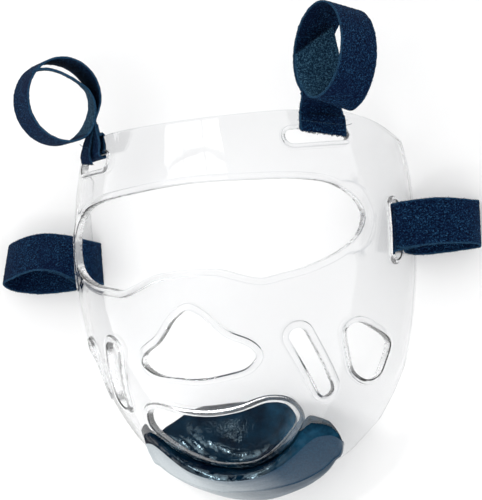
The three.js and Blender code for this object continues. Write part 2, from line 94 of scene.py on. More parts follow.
TOP_SLOT = dict(turn=46.5, height=65.3, length=34, width=7.4, slant=90)
SIDE_SLOT = dict(turn=72, height=15.2, length=30, width=7.4, slant=0)
SLOTS = [("oblong", OBLONG), ("slot", TOP_SLOT), ("slot", SIDE_SLOT)]
# The rims' widths, and how much wider they are past the temples, which begin and end at two turns.
RIMS = dict(eye=(3.7, 4.2), nose=(3.8, 0), mouth=(3.6, 0), cheek=(3.0, 0), oblong=(3.8, 0), slot=(2.4, 0))
TEMPLES = (50, 57)
# The chin pad's stations, from the middle to an end: the corners of its section, in Y and Z.
PAD = dict(
    across=[0, 14, 25, 34, 40, 44.5, 48.5, 52, 54],
    top=[-100, -97.3, -91.8, -84.8, -77.4, -73.6, -75.6, -78.6, -81.2],
    edge_y=[-101.5, -99.5, -94.8, -88, -82.8, -80.2, -80.4, -81.6, -83.6],
    edge_z=[56, 55.7, 55, 54, 53, 51, 47.5, 43.6, 40.4],
    fold_y=[-111.5, -111, -109.4, -107, -104.5, -101.6, -98, -95.8, -93.6],
    fold_z=[42, 40.5, 37.5, 34.5, 33.5, 33, 33, 33.4, 33.8],
    base_y=[-120, -118.5, -115, -110.8, -107, -103, -98.6, -96.4, -94.4],
    base_z=[22, 22, 22.5, 24, 25.5, 27, 28.5, 29.4, 30.6],
    rise_y=[-66.5, -66.8, -68, -73.5, -78, -85, -89, -90, -89],
    rise_z=[31, 32, 35, 41, 46, 38, 32, 30, 30],
)
HEEL_BACK, HEEL_UP, HEEL_RISE = 14, 4, 6
CUSHION = 6


def station(angle, inset=0, edge_on=0):
    """A station of a ring's tape with both edges at one angle and inset."""
    return angle, inset, angle, inset, edge_on, HALF_TAPE


# The top tapes' rings. swing and dip turn the axis, lean turns the oval of half sizes breadth and tall, slant
# turns the tape in its slot, rows is how much of WRAP_COURSE it follows, shift slides it along the slot in
# front and behind, pinch is where it turns into the ring, seam is where the flap is sewn. A spiral's station:
# the near edge's angle and inset, the far edge's, how far the tape turns edge-on to the camera, and the far
# edge's distance from the middle. A flap's station: across, up and out at its two edges.
LEFT_RING = dict(
    side=-1, centre=(-72.4, 99, 62.8), swing=42.4, dip=-1.9, lean=-13.6, breadth=20.4, tall=21.6,
    slant=0, rows=9, seam=0.62, shift=(0, -3), pinch=(7, 25),
    spiral=[station(*place) for place in (
        (216, 0, 0.92), (206, 0, 0.7), (192, 0, 0.45), (160, 0, 0.2), (120, 0, 0.05), (90,), (45,), (0,),
        (-45,), (-90,), (-115, 0.8, 0.2), (-135, 1.8, 0.45), (-160, 2.4, 0.66), (-182, 3.4, 0.82),
        (-205, 5.6, 0.96), (-230, 6.6, 1), (-255, 5.6, 1), (-278, 3.2, 0.97), (-292, 1.4, 0.9),
        (-304, 1.1, 0.7),
    )],
    flap=[
        (3.7, 23, 3.6, 8.2, 20.9, 3.8), (-3.7, 15.5, 3.7, 5.6, 14.2, 4.1), (-8.5, 9, 3.4, 3.8, 6.3, 3.9),
        (-10.5, 4.7, 3, 5.2, 1.8, 3.5), (-9, 1.2, 2.7, 8, -1.1, 3.1),
    ],
)
RIGHT_RING = dict(
    side=1, centre=(76.3, 102.9, 57.7), swing=-62.3, dip=-8.2, lean=-5.6, breadth=16, tall=23.2,
    slant=8, rows=12, seam=0.5, shift=(1.9, 4.3), pinch=(6, 24),
    spiral=[station(angle) for angle in (240, 210, 180, 135, 90, 45)] + [
        (angle, inset, angle, far_inset, 0, HALF_TAPE) for angle, inset, far_inset in (
        (0, 0, -0.4), (-35, 0, -1.2), (-62, 0, -2.4), (-86, 0, -2.8), (-102, 0.3, 1.4), (-122, 1.15, 6.8),
        (-150, 1.15, 9),
    )] + [(-168, 1.15, -184, 8, 0, 11.8), (-172, 1.15, -210, 6, 0, 9.3), (-176, 1.15, -230, 2.8, 0, 6)],
    flap=[
        (-10.4, 10.5, 2.1, 14.2, 10.5, 2.1), (-10.5, 8, 2.9, 14.3, 7.6, 2.9),
        (-10.5, 5.4, 2.9, 14.3, 4.8, 2.9), (-10.5, 3, 3.1, 14.2, 2.2, 3.1),
        (-10.3, 0.6, 3, 14.2, -0.6, 2.9),
    ],
)
RINGS = {"strap_top_left": LEFT_RING, "strap_top_right": RIGHT_RING}
# The top tapes' course round the bar above the slot, from behind the shell to its front: out and up.
WRAP_COURSE = [
    (-2.2, 17.2), (-3.7, 14.6), (-4.0, 11), (-4.0, 6.5), (-3.6, 3.9), (-2.4, 2.95), (-0.2, 2.85),
    (1.3, 3.4), (1.9, 5), (1.95, 8), (1.95, 11), (1.95, 13.5),
]
# The side tapes' stations: across, out of the face, up the face, tilt and width.
# On the right the neck in the slot is a second tape.
LEFT_LOOP = dict(side=-1, tapes=[[
    (85.4, 6, 13, 3, 24.2), (85.1, 17, 14.2, 3, 24.4), (87, 24, 15.6, 8, 24.6), (91.5, 26.6, 17.6, 18, 24.6),
    (100, 26.4, 21, 33, 24.6), (113, 25, 23.1, 33, 24.6), (125, 23, 22, 29, 24.6),
    (134.6, 19.6, 19.9, 27, 24.6), (141.6, 14.5, 18.3, 27, 24.6), (144.3, 9, 16.4, 24, 24.6),
    (142.4, 4.4, 14.2, 14, 24.6), (136, 2, 12.5, 5, 24.6), (128, 1.2, 11.3, 0, 24.6),
    (112, 1.2, 11.3, 0, 24.6), (103.4, 1.9, 11.8, 0, 24.6), (99.8, 7, 13.4, 8, 24.6),
    (98.9, 14, 16.4, 20, 24.6), (100.6, 20.8, 19.4, 30, 24.6), (106.5, 23.9, 21.6, 33, 24.4),
]])
RIGHT_LOOP = dict(side=1, tapes=[[
    (91.2, 29.2, 17.2, 8, 22.4), (95, 28.6, 17.3, 11, 24), (102, 27.6, 17.5, 16, 24.6),
    (113, 27, 17.5, 18, 24.6), (121.6, 24.6, 16.6, 20, 24.2), (127.2, 19.6, 15.6, 21, 23.8),
    (129.8, 13, 14.8, 19, 24), (128.6, 6, 14.2, 12, 24.6), (124.4, 2.2, 13.9, 3, 24.6),
    (118, 1.2, 13.6, 0, 24.6), (108, 1.2, 13.2, 0, 24.6), (97, 1.8, 13.2, 0, 24.6), (92.6, 7, 14, 2, 24.6),
    (92, 15, 15, 8, 24.6), (94.8, 22.2, 16.4, 14, 24.6), (103.6, 25.6, 17.3, 17, 24.4),
], [
    (85.4, 6, 15, 0, 24.4), (85.1, 17, 15.1, 0, 24.6), (86.8, 23.8, 15.8, 2, 24.6), (91, 26.2, 16.6, 6, 24.6),
    (96.5, 26.2, 17.2, 12, 24.4),
]])
LOOPS = {"strap_side_left": LEFT_LOOP, "strap_side_right": RIGHT_LOOP}

# ---- the camera
SHELL_LOW, SHELL_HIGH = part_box("shell")
ORIGIN = np.array([(SHELL_LOW.x + SHELL_HIGH.x) / 2, SHELL_HIGH.y - SHELL_TOP * MM, 0.0])


def row(points):
    """Points of the mask's frame, in millimetres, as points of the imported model's, in metres."""
    return np.asarray(points, float) * MM + ORIGIN


def new_object(name, data):
    made = bpy.data.objects.new(name, data)
    bpy.context.scene.collection.objects.link(made)
    return made


# The camera's place and its right, up and back, solved from the outlines of the shell and its openings.
EYE_POINT = (239.7, 8.1, 657.9)
CAMERA_AXES = ((0.93341, -0.09809, -0.34516), (0.09445, 0.99516, -0.0274), (0.34617, -0.00703, 0.93815))
LENS = 92.05236

camera_data = bpy.data.cameras.new("camera")
camera_data.lens = LENS
camera_data.clip_start, camera_data.clip_end = 0.02, 20
camera = new_object("camera", camera_data)
turned = Matrix(CAMERA_AXES).transposed().to_4x4()
camera.matrix_world = Matrix.Translation(Vector(row(EYE_POINT))) @ turned
bpy.context.scene.camera = camera


# ---- curves and tables
def hermite(at, values, where):
    """A smooth curve through a table, with slopes weighted by the gaps on each side."""
    at, values, where = (np.asarray(a, float) for a in (at, values, where))
    gap = np.diff(at)
    rise = np.diff(values) / gap
    inner = (gap[1:] * rise[:-1] + gap[:-1] * rise[1:]) / (gap[1:] + gap[:-1])
    slope = np.concatenate([rise[:1], inner, rise[-1:]])
    i = np.clip(np.searchsorted(at, where, side="left") - 1, 0, len(at) - 2)
    t = (where - at[i]) / gap[i]
    start = 2 * t**3 - 3 * t**2 + 1
    leave, arrive = t**3 - 2 * t**2 + t, t**3 - t**2
    first = start * values[i] + leave * gap[i] * slope[i]
    return first + (1 - start) * values[i + 1] + arrive * gap[i] * slope[i + 1]


def smoothstep(x, low, high):
    t = np.clip((x - low) / (high - low), 0, 1)
    return t * t * (3 - 2 * t)


def unit(v):
    return v / np.maximum(np.linalg.norm(v, axis=-1, keepdims=True), 1e-12)


def catmull(points, closed, steps):
    """A centripetal Catmull-Rom curve through points, with a number of steps for each span."""
    points = np.asarray(points, float)
    if closed:
        ring = np.concatenate([points[-1:], points, points[:2]])
    else:
        ring = np.concatenate([2 * points[:1] - points[1:2], points, 2 * points[-1:] - points[-2:-1]])
    gap = np.maximum(np.linalg.norm(np.diff(ring, axis=0), axis=1), 1e-6) ** 0.5
    out = []
    for i in range(1, len(ring) - 2):
        a, b, c, d = ring[i - 1 : i + 3]
        p, q, r = gap[i - 1 : i + 2]
        leave = ((b - a) / p - (c - a) / (p + q) + (c - b) / q) * q
        arrive = ((c - b) / q - (d - b) / (q + r) + (d - c) / r) * q
        t = (np.arange(steps) / steps)[:, None]
        out.append(
            b + leave * t + (3 * (c - b) - 2 * leave - arrive) * t**2 + (2 * (b - c) + leave + arrive) * t**3
        )
    if not closed:
        out.append(ring[-2:-1])
    return np.concatenate(out)


def smooth_columns(table, steps):
    """The columns of a table as smooth curves, with a number of steps for each row."""
    table = np.array(table, float)
    where = np.linspace(0, len(table) - 1, steps * len(table))
    return [hermite(np.arange(len(table)), column, where) for column in table.T]


def travelled(path):
    """The distance along a polyline to each of its points."""
    return np.concatenate([[0], np.cumsum(np.linalg.norm(np.diff(path, axis=0), axis=1))])


def columns_at(where, along, table):
    """A table's columns at other distances than its rows' own."""
    return np.stack([np.interp(where, along, column) for column in table.T], 1)


def even(outline, count):
    """Points spaced evenly round a closed outline."""
    path = np.concatenate([outline, outline[:1]])
    along = travelled(path)
    return columns_at(np.linspace(0, along[-1], count, endpoint=False), along, path)


def length_round(outline):
    return np.linalg.norm(np.roll(outline, -1, 0) - outline, axis=1).sum()


# ---- meshes and materials
def mesh_piece(name, node, points, faces, materials):
    """A mesh object from points of the mask's frame, in place of one solid."""
    mesh = bpy.data.meshes.new(name)
    mesh.from_pydata(row(points).tolist(), [], faces)
    mesh.validate()
    mesh.shade_smooth()
    for material in materials:
        mesh.materials.append(material)
    piece = new_object(name, mesh)
    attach(piece, "root")
    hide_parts(node)
    return piece


def point_layer(piece, name, values):
    """A number for each point of a piece, for its material to read."""
    layer = piece.data.attributes.new(name, "FLOAT", "POINT")
    layer.data.foreach_set("value", np.asarray(values, np.float32))


def grid_faces(rows, cols, closed=True, flip=False):
    """Quads between rows of points. A closed row's last point joins its first."""
    faces = []
    for i in range(rows - 1):
        for j in range(cols if closed else cols - 1):
            here, beside = i * cols + j, i * cols + (j + 1) % cols
            quad = [here, beside, beside + cols, here + cols]
            faces.append(quad[::-1] if flip else quad)
    return faces


# The places of a mix node's sockets for colors, which share their names with those for numbers.
COLOR_MIX = dict(share=0, a=6, b=7, result=2)


class Nodes:
    """A short way to write a material's node tree."""

    def __init__(self, name):
        self.material = bpy.data.materials.new(name)
        self.material.use_nodes = True
        self.tree = self.material.node_tree
        self.tree.nodes.clear()
        self.shader = self.add("ShaderNodeBsdfPrincipled")
        output = self.add("ShaderNodeOutputMaterial")
        self.tree.links.new(self.shader.outputs[0], output.inputs["Surface"])

    def add(self, kind, inputs=(), **settings):
        node = self.tree.nodes.new(kind)
        for key, value in settings.items():
            setattr(node, key, value)
        for key, value in dict(inputs).items():
            self.put(node, key, value)
        return node

    def put(self, node, key, value):
        socket = node.inputs[key]
        if isinstance(value, bpy.types.NodeSocket):
            self.tree.links.new(value, socket)
        else:
            socket.default_value = value

    def shade(self, **inputs):
        for key, value in inputs.items():
            self.put(self.shader, key.replace("_", " "), value)
        return self.material

    def layer(self, name):
        return self.add("ShaderNodeAttribute", attribute_name=name).outputs["Fac"]

    def texture(self, kind, **inputs):
        place = self.add("ShaderNodeTexCoord").outputs["Object"]
        return self.add("ShaderNodeTex" + kind, {**inputs, "Vector": place})

    def noise(self, scale, detail=3.0, roughness=0.5, distortion=0.0):
        inputs = dict(Scale=scale, Detail=detail, Roughness=roughness, Distortion=distortion)
        return self.texture("Noise", **inputs).outputs["Fac"]

    def math(self, operation, a, b=0.0, c=0.0, clamp=False):
        node = self.add("ShaderNodeMath", {0: a, 1: b, 2: c}, operation=operation, use_clamp=clamp)
        return node.outputs[0]

    def span(self, value, low, high, to_low=0.0, to_high=1.0):
        inputs = {"Value": value, "From Min": low, "From Max": high, "To Min": to_low, "To Max": to_high}
        return self.add("ShaderNodeMapRange", inputs, clamp=True).outputs[0]

    def ramp(self, value, stops):
        node = self.add("ShaderNodeValToRGB", {"Fac": value})
        elements = node.color_ramp.elements
        while len(elements) < len(stops):
            elements.new(0.5)
        for element, (place, color) in zip(elements, stops):
            element.position = place
            element.color = (*color, 1)
        return node.outputs["Color"]

    def mix(self, share, a, b):
        node = self.add("ShaderNodeMix", {COLOR_MIX["share"]: share}, data_type="RGBA")
        for key, value in (("a", a), ("b", b)):
            self.put(node, COLOR_MIX[key], value if isinstance(value, bpy.types.NodeSocket) else (*value, 1))
        return node.outputs[COLOR_MIX["result"]]

    def bump(self, height, strength, distance, normal=None):
        inputs = {"Height": height, "Strength": strength, "Distance": distance}
        if normal:
            inputs["Normal"] = normal
        return self.add("ShaderNodeBump", inputs).outputs["Normal"]


# ---- the shell
OUTLINE_STEP = 1.0
GRID_STEP = 3.2
EDGE_ROUND = 0.7
RIM_STEP = 0.75
# How far from an edge the mesh has rings of points: at any edge, at a rim's step, inside the border.
EDGE_RINGS = (0.12, 0.3, EDGE_ROUND)
STEP_RINGS = (-RIM_STEP, -0.6, -0.45, -0.3, -0.15, 0, 0.6, 2.2)
BORDER_RINGS = (*EDGE_RINGS, 1.6, 3.2)
WIDE_RIM = 3
MEASURE_STEPS = 5
ROUNDING_PASSES = 14
SLOT_POINTS = 120
SIDE_POINTS, LOW_POINTS, HIGH_POINTS = 361, 90, 70


def section_size(key, height):
    return hermite(SECTIONS["height"], SECTIONS[key], height)


def shell_point(turn, height, out=0.0):
    """Points of the shell's outer face, or out millimetres off it along its cross-section."""
    turn, height, out = np.broadcast_arrays(turn, height, out)
    half, crown, rear = (section_size(key, height) for key in ("half", "crown", "rear"))
    sine, cosine = np.sin(np.radians(turn)), np.cos(np.radians(turn))
    flare = (rear - half) * sine**FLARE_POWER * np.sign(sine)
    return np.stack([(half + out) * sine + flare, height, (crown + out) * cosine], -1)


def shell_axes(turn, height):
    """How the face moves for one degree of turn and one millimetre of height, and its normal."""
    step = 0.05
    across = (shell_point(turn + step, height) - shell_point(turn - step, height)) / (2 * step)
    climb = (shell_point(turn, height + step) - shell_point(turn, height - step)) / (2 * step)
    return across, climb, unit(np.cross(across, climb))


def shell_offset(outline, distance):
    """An outline in (turn, height), moved away from its inside along the face by a distance."""
    points = shell_point(*outline.T)
    along = np.roll(points, -1, 0) - np.roll(points, 1, 0)
    across, climb, normal = shell_axes(*outline.T)
    away = unit(np.cross(along, normal))
    aa, ac, cc = (across**2).sum(1), (across * climb).sum(1), (climb**2).sum(1)
    wa, wc = (away * across).sum(1), (away * climb).sum(1)
    scale = np.asarray(distance) / (aa * cc - ac**2)
    return outline + np.stack([(wa * cc - wc * ac) * scale, (wc * aa - wa * ac) * scale], 1)


def anticlockwise(outline):
    x, y = outline.T
    area = (x * np.roll(y, -1) - np.roll(x, -1) * y).sum()
    return outline if area > 0 else outline[::-1]


def even_outline(outline):
    """An outline in (turn, height) with points about OUTLINE_STEP apart, anticlockwise."""
    count = int(length_round(shell_point(*outline.T)) / OUTLINE_STEP)
    return anticlockwise(even(outline * (TURN_SCALE, 1), count) / (TURN_SCALE, 1))


def smooth_outline(corners):
    return even_outline(catmull(np.array(corners) * (TURN_SCALE, 1), True, 24) / (TURN_SCALE, 1))


def both_sides(half):
    return smooth_outline(half + [(-turn, height) for turn, height in half[-2:0:-1]])


def slot_outline(slot, side):
    """A slot with round ends. Its length runs up the face, leant outwards by slant degrees."""
    turn, height, length, width, slant = slot.values()
    lean = math.radians(-slant)
    across, _, normal = (v[0] for v in shell_axes(np.array([turn]), np.array([height])))
    reach = np.linalg.norm(across)
    up = np.cross(normal, unit(across))
    angle = 2 * np.pi * (np.arange(SLOT_POINTS) + 0.5) / SLOT_POINTS
    along = width / 2 * np.sin(angle) + (length - width) / 2 * np.sign(np.sin(angle))
    over = width / 2 * np.cos(angle)
    climb_by = along * math.cos(lean) + over * math.sin(lean)
    shift = -along * math.sin(lean) + over * math.cos(lean)
    return even_outline(np.stack([side * (turn + shift / reach), height + climb_by * up[1]], 1))


def shell_openings():
    """Each opening's outline, the width of its rim, and how much that grows towards the temples."""
    cheek = smooth_outline(CHEEK)
    found = [("eye", both_sides(EYE)), ("nose", both_sides(NOSE)), ("mouth", both_sides(MOUTH))]
    found += [("cheek", cheek), ("cheek", anticlockwise(cheek * (-1, 1)))]
    for side in (-1, 1):
        found += [(kind, slot_outline(slot, side)) for kind, slot in SLOTS]
    return [(outline, *RIMS[kind]) for kind, outline in found]


def shell_boundary():
    """The shell's own outline in (turn, height), its corners a little rounded."""
    heights = np.linspace(SHELL_BOTTOM, SHELL_TOP, SIDE_POINTS)
    depth = np.interp(heights, EDGE["height"], EDGE["depth"])
    limit = np.degrees(np.arccos(depth / section_size("crown", heights)))
    side = np.stack([limit, heights], 1)
    low = [(turn, SHELL_BOTTOM) for turn in np.linspace(-limit[0], limit[0], LOW_POINTS)[1:-1]]
    high = [(turn, SHELL_TOP) for turn in np.linspace(limit[-1], -limit[-1], HIGH_POINTS)[1:-1]]
    path = np.concatenate([low, side, high, (side * (-1, 1))[::-1]]) * (TURN_SCALE, 1)
    path = even(path, int(length_round(path) / (OUTLINE_STEP * 0.5)))
    for _ in range(ROUNDING_PASSES):
        path = (np.roll(path, 1, 0) + 2 * path + np.roll(path, -1, 0)) / 4
    path = even(path, len(path) // 2)
    path[:, 0] = np.clip(path[:, 0], -90 * TURN_SCALE, 90 * TURN_SCALE)
    return path / (TURN_SCALE, 1)


def finder(points):
    tree = kdtree.KDTree(len(points))
    for i, point in enumerate(points):
        tree.insert(point, i)
    tree.balance()
    return tree


def nearest(tree, points):
    """How far points are from a tree's nearest, and which that is."""
    found = [tree.find(p) for p in points]
    return np.array([f[2] for f in found]), np.array([f[1] for f in found])


def inside(outline, points):
    x, y = points.T
    hit = np.zeros(len(points), bool)
    for (ax, ay), (bx, by) in zip(outline, np.roll(outline, -1, 0)):
        cross = (ay > y) != (by > y)
        hit ^= cross & (x < (bx - ax) * (y - ay) / ((by - ay) or 1e-12) + ax)
    return hit


def rim_width(rim, growth, turn):
    return rim + growth * smoothstep(np.abs(turn), *TEMPLES)


class Face:
    """The shell's face: its boundary and openings in (turn, height), and how far they are."""

    def __init__(self):
        self.openings, self.boundary = shell_openings(), shell_boundary()
        holes = [self.dense(outline) for outline, _, _ in self.openings]
        self.owner = np.concatenate([np.full(len(hole), i) for i, hole in enumerate(holes)])
        self.holes = finder(np.concatenate(holes))
        self.edge = finder(self.dense(self.boundary))

    def dense(self, outline):
        return even(shell_point(*outline.T), len(outline) * MEASURE_STEPS)

    def measure(self, flat):
        """How far places are from the nearest opening, which one that is, and how far from the edge."""
        points = shell_point(*flat.T)
        gap, which = nearest(self.holes, points)
        edge_gap, _ = nearest(self.edge, points)
        return gap, self.owner[which], edge_gap

    def covers(self, flat):
        """Which places lie on the shell's material."""
        found = inside(self.boundary, flat)
        for outline, _, _ in self.openings:
            found &= ~inside(outline, flat)
        return found

    def rings(self):
        """Rings of places along every edge, except too close to another."""
        rings = []
        for outline, rim, growth in self.openings:
            width = rim_width(rim, growth, outline[:, 0])
            distances = [np.full(len(outline), d) for d in EDGE_RINGS]
            if rim > WIDE_RIM:
                distances.append(distances[-1] + EDGE_ROUND)
            for distance in distances + [width + d for d in STEP_RINGS]:
                ring = shell_offset(outline, distance)
                gap, _, edge_gap = self.measure(ring)
                rings.append(ring[(np.abs(gap - distance) < 0.12 * distance + 0.06) & (edge_gap > 1.2)])
        for distance in BORDER_RINGS:
            ring = shell_offset(self.boundary, -distance)
            gap, _, edge_gap = self.measure(ring)
            rings.append(ring[(np.abs(edge_gap - distance) < 0.15 * distance + 0.06) & (gap > 2)])
        return rings

    def grid(self):
        """A triangular grid of places over what the rings leave free."""
        heights = np.arange(SHELL_BOTTOM + GRID_STEP, SHELL_TOP, GRID_STEP * 0.87)
        places = np.arange(-90 * TURN_SCALE, 90 * TURN_SCALE, GRID_STEP)
        grid = [(x + GRID_STEP / 2 * (i % 2), height) for i, height in enumerate(heights) for x in places]
        grid = np.array(grid) / (TURN_SCALE, 1)
        grid = grid[self.covers(grid)]
        gap, which, edge_gap = self.measure(grid)
        widest = np.array([rim + growth for _, rim, growth in self.openings])
        return grid[(gap > widest[which] + 3.6) & (edge_gap > 5)]

    def triangles(self):
        """The face cut into triangles: their corners' places, and their corners."""
        outlines = [self.boundary] + [outline for outline, _, _ in self.openings]
        edges = []
        for outline in outlines:
            start, count = len(edges), len(outline)
            edges += [(start + i, start + (i + 1) % count) for i in range(count)]
        flat = np.concatenate(outlines + self.rings() + [self.grid()])
        coords = [Vector(p) for p in (flat * (TURN_SCALE, 1)).tolist()]
        verts, _, triangles, _, _, _ = delaunay_2d_cdt(coords, edges, [], 1, 1e-5, False)
        flat = np.array([tuple(v) for v in verts]) / (TURN_SCALE, 1)
        triangles = np.array([tuple(t) for t in triangles])
        triangles = triangles[self.covers(flat[triangles].mean(1))]
        used = np.unique(triangles)
        renumber = np.full(len(flat), -1)
        renumber[used] = np.arange(len(used))
        return flat[used], renumber[triangles]


def make_shell():
    face = Face()
    flat, triangles = face.triangles()
    gap, which, edge_gap = face.measure(flat)
    rims, growths = np.array([opening[1:] for opening in face.openings]).T
    width = rim_width(rims[which], growths[which], flat[:, 0])
    rise = RIM_HEIGHT * (1 - smoothstep(gap, width - RIM_STEP, width))
    inset = np.clip(EDGE_ROUND - np.minimum(gap, edge_gap), 0, EDGE_ROUND)
    rounding = EDGE_ROUND - np.sqrt(EDGE_ROUND**2 - inset**2)
    _, _, normal = shell_axes(*flat.T)
    outer = shell_point(*flat.T) + normal * (rise - rounding)[:, None]
    inner = shell_point(*flat.T, -WALL) + normal * rounding[:, None]
    points = np.concatenate([outer, inner])
    points[:, 2] = np.maximum(points[:, 2], 0)

    count = len(flat)
    directed = np.concatenate([triangles[:, [0, 1]], triangles[:, [1, 2]], triangles[:, [2, 0]]])
    seen = set(map(tuple, directed.tolist()))
    cut = [(a, b) for a, b in seen if (b, a) not in seen]
    faces = triangles.tolist() + (triangles[:, ::-1] + count).tolist()
    faces += [(b, a, a + count, b + count) for a, b in cut]
    shell = mesh_piece("clear_shell", "shell", points, faces, [clear_plastic(), cut_edge()])
    point_layer(shell, "rim", np.tile(rise / RIM_HEIGHT, 2))
    point_layer(shell, "edge", np.tile(np.minimum(gap, edge_gap), 2))
    for polygon in shell.data.polygons:
        polygon.material_index = int(polygon.index >= 2 * len(triangles))
    shell.visible_shadow = False


def clear_plastic():
    """Clear plastic, with painted shade in a thin darker line along each rim's step and each rounded edge."""
    n = Nodes("clear_polycarbonate")
    ripple = n.noise(28, 2.0, 0.4)
    fine = n.noise(900, 4.0, 0.6)
    scratch = n.noise(160, 5.0, 0.7, distortion=1.5)
    # Painted shade: the step and edge masks tint a thin line darker, where refraction makes clear plastic
    # look dark.
    step = n.math("MULTIPLY", n.span(n.layer("rim"), 0.05, 0.4), n.span(n.layer("rim"), 0.95, 0.6))
    lip = n.span(n.layer("edge"), 0.75, 0.3)
    line = n.math("MAXIMUM", n.math("MULTIPLY", step, 0.5), n.math("MULTIPLY", lip, 0.45))
    return n.shade(
        Base_Color=n.mix(line, (0.885, 0.888, 0.893), (0.5, 0.52, 0.55)), Transmission_Weight=1.0, IOR=1.5,
        Roughness=n.span(scratch, 0.45, 0.8, 0.015, 0.07),
        Normal=n.bump(fine, 0.03, 0.00005, n.bump(ripple, 0.25, 0.0006)),
    )


def cut_edge():
    """The faces through the wall, which the moulding leaves a little milky."""
    n = Nodes("milky_edge")
    scuffs = n.noise(300, 4.0, 0.7)
    return n.shade(
        Base_Color=n.ramp(scuffs, [(0.35, (0.88, 0.885, 0.89)), (0.6, (0.96, 0.963, 0.966))]),
        Transmission_Weight=0.86, IOR=1.5, Roughness=n.span(scuffs, 0.3, 0.7, 0.2, 0.4),
        Normal=n.bump(scuffs, 0.05, 0.0001),
    )


make_shell()


# ---- the chin pad
PAD_STEPS = 250
PAD_SPAN = 11
PAD_HALF = PAD["across"][-1]
# The pad's ends round off from here outwards.
PAD_END = 50.8
GRAIN = 0.025
# Where round the section the skin is satin, counted in pad_section's corners from the shelf.
SATIN = (2.9, 11.5)


def pad_corners(across):
    """The table's columns at a distance from the middle, alike on both sides."""
    places = np.array(PAD["across"])
    places = np.concatenate([-places[:0:-1], places])
    columns = [values for key, values in PAD.items() if key != "across"]
    return [hermite(places, values[:0:-1] + values, across) for values in columns]


def face_depth(across, height):
    """How far out the shell's face is at one place across and one height."""
    share = min(abs(across) / section_size("half", height), 1)
    return section_size("crown", height) * math.sqrt(1 - share * share)


def between(a, b, t, bulge=0.0):
    return (a[0] + (b[0] - a[0]) * t - bulge * 0.7, a[1] + (b[1] - a[1]) * t + bulge * 0.7)


def pad_section(across):
    """The pad's outline in Y and Z at one place across, with PAD_SPAN points for each corner."""
    top, edge_y, edge_z, fold_y, fold_z, base_y, base_z, rise_y, rise_z = pad_corners(across)
    edge, fold, base, rise = (edge_y, edge_z), (fold_y, fold_z), (base_y, base_z), (rise_y, rise_z)
    shelf = (top, face_depth(across, top) - WALL / 2)
    root = (top + 1.5, face_depth(across, top + 1.5) - WALL / 2)
    size = (rise_y - base_y) / (PAD["rise_y"][0] - PAD["base_y"][0])
    heel = (base_y + HEEL_UP * size, base_z - HEEL_BACK * size)
    lap = (heel[0] + HEEL_RISE * size, heel[1] - size)
    crest = (rise_y - 1.5, rise_z - CUSHION * (0.4 + 0.6 * size))
    corners = [
        shelf, between(edge, shelf, 0.6, -0.4), between(edge, shelf, 0.27, 0.2),
        between(edge, fold, 0.2, 0.9), between(edge, fold, 0.5, 1.2), between(edge, fold, 0.96),
        between(fold, base, 0.1), between(fold, base, 0.6, 0.8), base, heel, lap,
        between(lap, crest, 0.5, 2 * size), crest, rise, between(rise, root, 0.5, 1.5), root,
    ]
    return catmull(np.array(corners), True, PAD_SPAN)


def pad_relief(across, part):
    """How far the skin stands out: the cup's wrinkles, a crease round the outside, folds at the right end."""
    side = across / PAD_HALF
    cup = smoothstep(part, 13.1, 13.5) * (1 - smoothstep(part, 15.6, 16))
    low = smoothstep(part, 13.9, 14.5)
    drift = 0.35 * np.sin(2.1 * side + 0.6) + 0.16 * np.sin(7.3 * side + 1.9) + 0.05 * np.sin(23 * side)
    bow = (side - 0.1) ** 2
    ridge = np.sin(2 * np.pi * (part * 2.6 + drift + 7 * bow)) * 0.6
    ridge += np.sin(2 * np.pi * (part * 4.7 - drift * 1.7 + 12 * bow) + 1.1) * 0.3
    fade = 1 - 0.65 * smoothstep(side, 0.15, 0.7)
    crease = -0.55 * np.exp(-(((part - 5.3) / 0.16) ** 2))
    lip = 0.25 * np.exp(-(((part - 2.7) / 0.22) ** 2))
    folds = 0.35 * np.sin(2 * np.pi * (part * 1.9 + side * 9)) * smoothstep(side, 0.72, 0.86)
    folds = folds * smoothstep(part, 2.4, 1.2)
    waves = 0.12 * np.sin(9 * side + 1.3 * part) + 0.08 * np.sin(17 * side - 2.1 * part)
    return cup * low * fade * ridge + crease + lip + folds + waves


def pad_shine(across, part):
    """Where the skin is stretched glossy, from 0 to 1: the wrinkles' crests, the lip, the right flank."""
    side = across / PAD_HALF
    crests = smoothstep(pad_relief(across, part), 0, 0.4)
    crests *= smoothstep(part + 2.5 * (side - 0.1) ** 2, 14.3, 14.6)
    crests *= 1 - 0.9 * smoothstep(side, 0.15, 0.4)
    lip = np.exp(-(((part - 2.4) / 0.7) ** 2)) * np.exp(-(((side + 0.03) / 0.42) ** 2))
    flank = 0.5 * smoothstep(side, 0.45, 0.75) * smoothstep(part, 12.8, 13.4)
    flank *= 1 - smoothstep(part, 14.6, 15)
    return np.maximum(np.maximum(crests, lip), flank)


